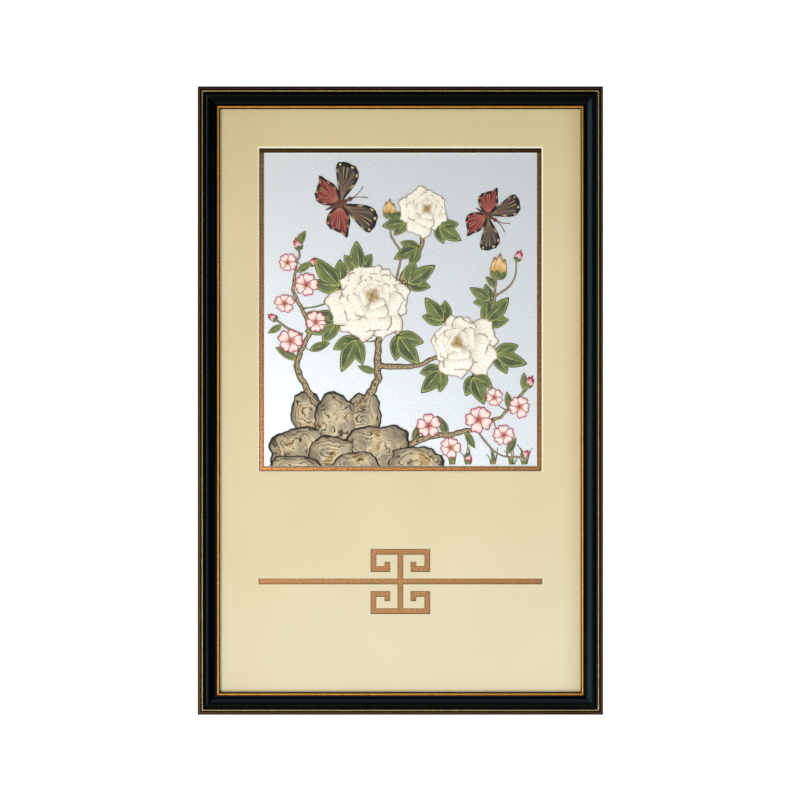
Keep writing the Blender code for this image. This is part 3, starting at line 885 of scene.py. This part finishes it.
leaf_blank = round_blank("leaf_blank", 36, 9)
figures, stalks = [], []
for number, (x, z, turn, length, width) in enumerate(leaves + leaflets):
    parts = ((-40, 0.7, 0), (37, 0.74, 1), (0, 1, 2)) if number < len(leaves) else ((0, 1, 1),)
    for aside, share, level in parts:
        outline = leaf_outline(0.07 * sin(5 * number + level))
        size = (length * share, width * (0.55 + 0.45 * share))
        lift = leaf_lift(relief_edge * (1 + 0.6 * level))
        figures.append(emboss(leaf_blank, outline, (x, z), size, turn + aside, lift))
    stalks.append(make_stalk(x, z, number * 1.7, 0.3 if number < len(leaves) else 0.2))
for number, (x, z) in enumerate(grass):
    for blade in range(5):
        lean = (blade - 2) * 1.3 + 0.8 * sin(7 * number + blade)
        tall = 6 - abs(blade - 2) + 1.6 * sin(3 * number + 2 * blade)
        foot = x + 0.3 * blade
        route = ((foot, z), (foot + 0.3 * lean, z + 0.6 * tall), (x + lean, z + tall))
        stalks.append(make_bough(0.32, 0.1, route, stalk_rise, number + blade))
        trim(stalks[-1])
gather("relief_leaves", figures, painted_leaf)

green_tones = ((0.36, "3f4a2b"), (0.5, "6d7840"), (0.62, "9a9455"))
young_green = mottled("young_green", {"Roughness": 0.55}, (0.006, 3), green_tones)
gather("relief_stalks", stalks, young_green)

# ---------------------------------------- Blooms
# Three full peonies in rings of overlapping petals about a heart that is set
# to one side. They are painted white, shaded grey and outlined in umber.

bloom_rise = 0.0009
bloom_step = 0.0004
bloom_foot = 0.0004
petal_tilt = 0.00022
blooms = (
    # x, z, radius, petals in the outer ring, rings, the heart's shift in x and z
    (-10, 1, 13.5, 7, 4, 1.2, 3.6),
    (21, -12, 11, 6, 4, -3.0, 1.6),
    (7, 31, 8, 6, 3, 1.6, 1.4),
)
chance = random.Random(11)


def direction(turn):
    """A flat direction, its angle in degrees."""
    return Vector((cos(radians(turn)), sin(radians(turn))))


def petal_outline(turn):
    """A petal from its base at 0 to its tip at 1, fuller, dented and frilled at the tip."""
    along, across = cos(turn), sin(turn)
    dent = 0.13 * exp(-((across / 0.32) ** 2)) if along > 0 else 0
    frill = 0.03 * cos(11 * turn) * max(along, 0)
    return (along + 1) / 2 - dent + frill, across * (0.78 + 0.32 * along) / 2


def petal_lift(low, rise, ripple):
    """The height of a petal: domed and pleated, its edge rippled and one side raised."""

    def lift(along, across, reach):
        dome = 1 - reach**2
        pleats = 0.05 * cos(13 * atan2(across, along + 0.2)) * reach
        edge = 0.22 * reach**4 * sin(5 * atan2(across, along - 0.5) + ripple)
        return low + rise * (0.15 + 0.7 * dome + pleats + edge) + petal_tilt * across

    return lift


def petal_paint(name, stops, vein, line, rim):
    """A petal's paint from base to tip, with faint veins, and outlined from this far out."""
    paint = new_material(name, {"Roughness": 0.5, "Metallic": 0.05})
    along, across, reach = plan_of(paint)
    fan = maths("ARCTAN2", across, maths("ADD", along, 0.35))
    fine = maths("SINE", maths("MULTIPLY", fan, 60.0))
    broken = span(grain(paint, 0.004, 3), 0.4, 0.6, 0, 0.35)
    veins = maths("MULTIPLY", span(fine, 0.55, 1.0), broken)
    uneven = maths("MULTIPLY_ADD", grain(paint, 0.003, 3), 0.03, reach)
    soft = span(uneven, rim - 0.05, rim + 0.01, 0, 0.3)
    crisp = span(uneven, rim + 0.01, rim + 0.02)
    colour = tones(along, *stops)
    colour = layered(colour, (veins, vein), (soft, line), (crisp, line))
    feed("Base Color", colour)
    return paint


peony_stops = ((0.12, "a19379"), (0.42, "d3cdc0"), (0.7, "f5f3ed"), (0.95, "fdfcf9"))
peony_paint = petal_paint("peony_paint", peony_stops, "a79a86", "7d5b3a", 0.478)
petal_blank = round_blank("petal_blank", 44, 9)
figures = []
for x, z, radius, petals, rings, *shift in blooms:
    for ring in range(rings):
        lobes = petals - ring
        reach = radius * (1 - ring / (rings + 0.4))
        low = relief_edge + bloom_foot + bloom_step * ring
        heart = Vector((x, z)) + Vector(shift)
        off = Vector(shift) * (1 - ring / rings)
        for number in range(lobes):
            turn = x + 40 * ring + 360 * number / lobes + chance.uniform(-6, 6)
            way = direction(turn)
            ahead = sqrt(reach**2 - off.length_squared + off.dot(way) ** 2) - off.dot(way)
            broad = 2.1 * sin(pi / lobes) * (reach + ahead) / 2
            size = (ahead * chance.uniform(0.93, 1.06), broad * chance.uniform(0.94, 1.12))
            lift = petal_lift(low, bloom_rise, chance.uniform(0, 6))
            figures.append(emboss(petal_blank, petal_outline, heart, size, turn, lift))
gather("relief_peonies", figures, peony_paint)

# ---------------------------------------- Small blossoms and buds
# Five-petalled blossoms on the twigs, painted white with crimson edges, and
# closed crimson and ochre buds in green sepals. A petal is a small cupped shell.

blossom_rise = 0.0007
blossom_foot = 0.0006
cup_tilt = 0.0002
blossoms = (
    # x, z, radius
    (-35, -10, 4.4),
    (-27, -4, 3.8),
    (-37, 2, 3.4),
    (-30, 8, 4.2),
    (-36, 15, 3.2),
    (9, -37, 4),
    (16, -44, 3.8),
    (25, -35, 4.6),
    (33, -40, 3.8),
    (38, -31, 3.8),
    (30, -28, 3.2),
)
buds = (
    # x, z of the base, turn in degrees, length, width, crimson or ochre
    (31, 9.6, 84, 8.5, 5.2, "ochre"),
    (-3.6, 29, 88, 6.4, 4, "ochre"),
    (37, 15.5, 66, 4, 2.4, "crimson"),
    (-32, 19, 112, 4.4, 2.6, "crimson"),
    (-29, 14, 50, 3.2, 2.2, "crimson"),
    (40.3, -24.9, 62, 4.4, 2.6, "crimson"),
    (-39.4, -3.3, 150, 3.6, 2.4, "crimson"),
    (38.4, -46.8, 24, 3.6, 2.2, "crimson"),
    (21, -46, 300, 3.2, 2.2, "crimson"),
)


def bud_outline(turn):
    """A closed bud or a slim body, full at its base and pointed at its tip."""
    along, across = cos(turn), sin(turn)
    return (along + 1) / 2, across * (0.64 - 0.36 * along) * 1.3 / 2


def cup_lift(along, across, reach):
    """The height of a small petal: hollow along its middle, with its edge turned up."""
    cup = 0.5 + 0.5 * min(1, abs(across) * 2.6)
    bowl = 0.8 * cup * (1 - 0.5 * reach**3) + 0.12 * reach**6
    return relief_edge + blossom_foot + blossom_rise * bowl + cup_tilt * across


blossom_stops = ((0.1, "a83a58"), (0.35, "f0cfd2"), (0.6, "fbf3f0"), (0.8, "f4d3d8"))
blossom_stops += ((0.97, "d9637f"),)
blossom_paint = petal_paint("blossom_paint", blossom_stops, "c0506c", "9c2145", 0.43)
small_blank = round_blank("small_blank", 30, 6)
figures, twigs = [], []
for number, (x, z, radius) in enumerate(blossoms):
    for fifth in range(5):
        turn = 47 * number + 72 * fifth + chance.uniform(-7, 7)
        size = (radius * chance.uniform(0.88, 1.08), radius * chance.uniform(0.92, 1.06))
        petal = emboss(small_blank, petal_outline, (x, z), size, turn, cup_lift)
        figures.append(petal)
    twigs.append(make_stalk(x, z, number * 1.3, 0.24))
gather("relief_blossoms", figures, blossom_paint)

crimson_stops = ((0.1, "c6567a"), (0.45, "f2d5da"), (0.75, "c4385f"), (0.95, "8c1f40"))
ochre_stops = ((0.1, "8f8348"), (0.4, "d2a560"), (0.7, "edd3a0"), (0.95, "b07a3e"))
crimson_paint = petal_paint("crimson_bud_paint", crimson_stops, "a32a4c", "7c1c38", 0.42)
ochre_paint = petal_paint("ochre_bud_paint", ochre_stops, "a4713c", "6e4a26", 0.45)
closed = {"crimson": [], "ochre": []}
sepals = []
for number, (x, z, turn, length, width, hue) in enumerate(buds):
    for aside, share, level in ((13, 0.86, 0), (-14, 0.82, 0), (0, 1, 1)):
        low = relief_edge * (2 + level)
        lift = petal_lift(low, blossom_rise, aside)
        size = (length * share, width * (0.9 - 0.2 * level))
        bud = emboss(small_blank, bud_outline, (x, z), size, turn + aside, lift)
        closed[hue].append(bud)
    size, lift = (0.46 * length, 0.4 * width), leaf_lift(relief_edge * 3.4)
    for aside in (-44, 44, 8):
        way = turn + aside
        sepals.append(emboss(small_blank, leaf_outline(0), (x, z), size, way, lift))
    twigs.append(make_stalk(x, z, number * 2.1, 0.2))
gather("relief_crimson_buds", closed["crimson"], crimson_paint)
gather("relief_ochre_buds", closed["ochre"], ochre_paint)
gather("relief_sepals", sepals, painted_leaf)
gather("relief_twigs", twigs, painted_bark)

# ---------------------------------------- Stamens
# The hearts of the flowers: a crowd of small golden anthers in each, raised
# as fine grains.

golden_angle = 2.39996
anther_look = {"Metallic": 0.3, "Roughness": 0.45}
anther_tones = ((0.35, "8a5a18"), (0.6, "dcae48"))
anther_gold = mottled("anther_gold", anther_look, (0.0012, 2), anther_tones)


def add_grains(place, height, reach, count, size):
    """A cluster of small rounded grains about a flower's heart."""
    made = []
    for number in range(count):
        away = reach * sqrt((number + 0.5) / count)
        angle = number * golden_angle
        x, z = place[0] + away * cos(angle), place[1] + away * sin(angle)
        deselect()
        spot = (x * unit, plate_front - height + 0.25 * size * unit, window_middle + z * unit)
        bpy.ops.mesh.primitive_ico_sphere_add(subdivisions=1, radius=size * unit, location=spot)
        edit(bpy.context.object)
        bpy.ops.transform.resize(value=(1, 0.8, 1.5), center_override=spot)
        bpy.ops.transform.rotate(value=angle, orient_axis="Y", center_override=spot)
        leave_edit()
        bpy.ops.object.transform_apply(location=True, rotation=True, scale=True)
        made.append(bpy.context.object)
    return made


figures = []
for x, z, radius, petals, rings, *shift in blooms:
    top = relief_edge + bloom_foot + bloom_step * (rings - 1) + 0.7 * bloom_rise
    figures += add_grains((x + shift[0], z + shift[1]), top, radius * 0.17, 30, radius * 0.02)
for x, z, radius in blossoms:
    top = relief_edge + blossom_foot + 0.4 * blossom_rise
    figures += add_grains((x, z), top, radius * 0.26, 9, radius * 0.05)
gather("relief_stamens", figures, anther_gold)

# ---------------------------------------- Butterflies
# Two butterflies with spread wings, painted charcoal and crimson with pale
# scales along the veins, a slim furred body and fine feelers.

wing_rise = 0.0005
feeler_rise = 0.0003
butterflies = (
    # x, z, turn in degrees, wing length
    (-19, 34, 24, 12.5),
    (28, 30, -32, 10.5),
)
body_parts = (
    # start, length and width in wing lengths, turn in degrees
    (0.06, 0.5, 0.12, 180),
    (-0.12, 0.36, 0.16, 0),
    (0.2, 0.14, 0.13, 0),
)


def fore_wing_outline(turn):
    """A butterfly's fore wing: narrow at its root, with a broad raked end."""
    along, across = cos(turn), sin(turn)
    blunt = copysign(abs(across) ** 0.7, across)
    scallop = 0.012 * cos(14 * turn) * max(along, 0)
    return (along + 1) / 2 + scallop, blunt * (0.6 + 0.46 * along) / 2 + 0.14 * max(along, 0) ** 2


def hind_wing_outline(turn):
    """A butterfly's hind wing: round and scalloped, with a short tail."""
    along, across = cos(turn), sin(turn)
    tail = 0.24 * exp(-(((turn + 0.5) / 0.3) ** 2))
    scallop = 0.02 * cos(13 * turn) * max(along, 0)
    return (along + 1) / 2 + tail + scallop, across * (0.85 + 0.25 * along) / 2 - 0.6 * tail


def wing_lift(low):
    """The height of a wing: a low dome, with its veins raised."""

    def lift(along, across, reach):
        dome = sqrt(max(0, 1 - reach**4))
        veins = max(0, cos(11 * atan2(across, along + 0.05))) ** 6
        return low + wing_rise * dome * (0.6 + 0.25 * veins)

    return lift


def wing_paint(name, ground, glow, scales, band, spots):
    """A wing's paint: inked veins beside pale scales, and a dark band with spots."""
    paint = new_material(name, {"Roughness": 0.5, "Metallic": 0.05})
    along, across, reach = plan_of(paint)
    fan = maths("ARCTAN2", across, maths("ADD", along, 0.06))
    spread = maths("COSINE", maths("MULTIPLY", fan, 22.0))
    wavy = maths("MULTIPLY", fan, 88.0)
    wavy = maths("MULTIPLY_ADD", grain(paint, 0.002, 3), 4.0, wavy)
    ringed = maths("ABSOLUTE", maths("SUBTRACT", reach, 0.435))
    between = span(spread, -0.5, -0.75)
    colour = layered(
        tones(along, (0.05, scales), (0.3, glow), (0.62, ground)),
        (span(maths("SINE", wavy), 0.2, 0.9, 0, 0.5), band),
        (span(spread, 0.3, 0.75, 0, 0.8), scales),
        (span(spread, 0.8, 0.96), band),
        (span(reach, 0.375, 0.39), band),
        (maths("MULTIPLY", span(ringed, 0.03, 0.022), between), spots),
    )
    feed("Base Color", colour)
    return paint


fore_paint = wing_paint("fore_wing_paint", "46403f", "6c4a42", "b39b75", "171416", "dfc893")
hind_paint = wing_paint("hind_wing_paint", "8c2536", "a83c40", "cf9c72", "1f1518", "e0916a")
fur_tones = ((0.35, "1f181a"), (0.65, "84503c"))
fur = mottled("body_fur", {"Roughness": 0.7}, (0.0008, 3), fur_tones)

wing_blank = round_blank("wing_blank", 60, 11)
fore_wings, hind_wings, bodies = [], [], []
for x, z, turn, length in butterflies:
    heading = direction(turn) * length
    for side in (-1, 1):
        wings = (
            (fore_wing_outline, 52, 1, 0.8, 2, fore_wings),
            (hind_wing_outline, 122, 0.68, 0.7, 1, hind_wings),
        )
        for outline, spread, long, broad, level, group in wings:
            angle = turn + side * spread
            way = radians(angle)
            base = (x + 0.04 * length * cos(way), z + 0.04 * length * sin(way))
            low = relief_edge * (level + 0.2 * side)
            size, lift = (long * length, side * broad * length), wing_lift(low)
            group.append(emboss(wing_blank, outline, base, size, angle, lift))
        head = Vector((x, z)) + 0.3 * heading
        aside = Vector((-heading.y, heading.x)) * side
        bend = head + 0.2 * heading + 0.05 * aside
        tip = head + 0.4 * heading + 0.16 * aside
        bodies.append(make_bough(0.11, 0.16, (head, bend, tip), feeler_rise))
    lift = petal_lift(3 * relief_edge, 2 * wing_rise, 0)
    for start, long, broad, around in body_parts:
        place, size = Vector((x, z)) + start * heading, (long * length, broad * length)
        body = emboss(small_blank, bud_outline, place, size, turn + around, lift)
        bodies.append(body)
gather("relief_fore_wings", fore_wings, fore_paint)
gather("relief_hind_wings", hind_wings, hind_paint)
gather("relief_butterfly_bodies", bodies, fur)

# ---------------------------------------- Backing board
# Brown hardboard closes the back behind the plate. It is a plain panel, a
# little rough, with fine fibres pressed into it.

board_look = {"Roughness": 0.85, "Specular IOR Level": 0.2}
board_tones = ((0.3, "6b543b"), (0.5, "8a7152"), (0.7, "a1896a"))
hardboard = mottled("hardboard", board_look, (0.0015, 6), board_tones, depth=0.00015)


def finish_node(name, material):
    """Gives a piece that comes straight from the model its material."""
    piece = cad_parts[name]
    piece.data.materials.clear()
    piece.data.materials.append(material)


finish_node("backing_board", hardboard)

# ---------------------------------------- Steel fittings
# Flat points driven into the rabbet hold the pack in. A bent sawtooth hanger
# is screwed to the top rail, and all are bright zinc-plated steel.

zinc_tones = ((0.3, "8f9294"), (0.7, "c4c7c8"))
spangle = (0.0015, 5)
zinc = mottled("zinc_plate", {"Metallic": 1.0}, spangle, zinc_tones, (0.28, 0.46), 0.00002)

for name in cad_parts:
    if name.startswith(("retaining_point", "hanger_screw", "sawtooth_hanger")):
        finish_node(name, zinc)

# ---------------------------------------- Studio
# The picture hangs clear of a pale floor and is seen straight on from about two
# metres. Soft lights stand before it, and panels beside, above and behind it.

floor_height = -1.25
eye_distance = 2.2447
eye_side = -0.0004
eye_height = -0.30545


def add_softbox(name, place, target, width, height, power, colour):
    """A rectangular soft light at a place, turned to face a target."""
    light = bpy.data.lights.new(name, "AREA")
    light.shape = "RECTANGLE"
    light.size, light.size_y = width, height
    light.energy = power
    light.color = tint(colour)[:3]
    holder = bpy.data.objects.new(name, light)
    holder.location = place
    holder.rotation_euler = (Vector(target) - Vector(place)).to_track_quat("-Z", "Y").to_euler()
    bpy.context.scene.collection.objects.link(holder)


add_softbox("right_window", (2.0, -0.95, -0.3), middle, 0.4, 2.0, 19, "b2deff")
add_softbox("left_front", (-1.1, -2.1, -0.75), middle, 1.0, 1.0, 20, "fff6ea")
add_softbox("low_front", (0.15, -0.95, -1.35), middle, 1.0, 0.5, 16, "e6f0ff")
add_softbox("camera_fill", (-0.4, -2.45, -1.05), middle, 1.5, 1.3, 17, "fff9f2")
add_softbox("left_panel", (-1.8, -0.1, -0.3), (0.2, 0, -0.3), 0.7, 1.6, 29, "b4d4de")
add_softbox("left_behind", (-1.7, 0.55, -0.3), (-0.2, 0, -0.3), 0.6, 1.6, 10, "d6e4ea")
add_softbox("right_behind", (1.5, 2.1, -0.3), (0.2, 0, -0.3), 0.8, 1.6, 13, "e6edf4")
add_softbox("top_panel", (0, -0.1, 1.4), (0, 0, -0.6), 1.6, 0.7, 12, "c4dae6")

deselect()
spot = (0, 0, floor_height)
bpy.ops.mesh.primitive_grid_add(x_subdivisions=12, y_subdivisions=12, size=3, location=spot)
floor = bpy.context.object
floor.name = "floor"
pale = new_material("pale_floor", {"Roughness": 0.9, "Base Color": tint("f2f1ee")})
floor.data.materials.append(pale)
floor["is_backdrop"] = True

world = bpy.data.worlds.new("studio")
bpy.context.scene.world = world
world.use_nodes = True
rays = world.node_tree.nodes.new("ShaderNodeLightPath").outputs
room, mirrored, seen = (0.32, 0.22, 0.09, 1), (0.09, 0.1, 0.11, 1), (1, 1, 1, 1)
colour = room
for ray, met in (("Is Glossy Ray", mirrored), ("Is Camera Ray", seen)):
    choice = {"Fac": rays[ray], "Color1": colour, "Color2": met}
    colour = pattern("MixRGB", choice).outputs["Color"]
world.node_tree.links.new(colour, world.node_tree.nodes["Background"].inputs["Color"])

bpy.context.scene.view_settings.view_transform = "Standard"
camera = bpy.data.cameras.new("camera")
camera.lens = 100.1
camera.sensor_width = 36
eye = bpy.data.objects.new("camera", camera)
eye.location = (eye_side, -eye_distance, eye_height)
eye.rotation_euler = (radians(90), 0, 0)
bpy.context.scene.collection.objects.link(eye)
bpy.context.scene.camera = eye

size = {"cad": cad_box, "visual": [list(corner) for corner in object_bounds()]}
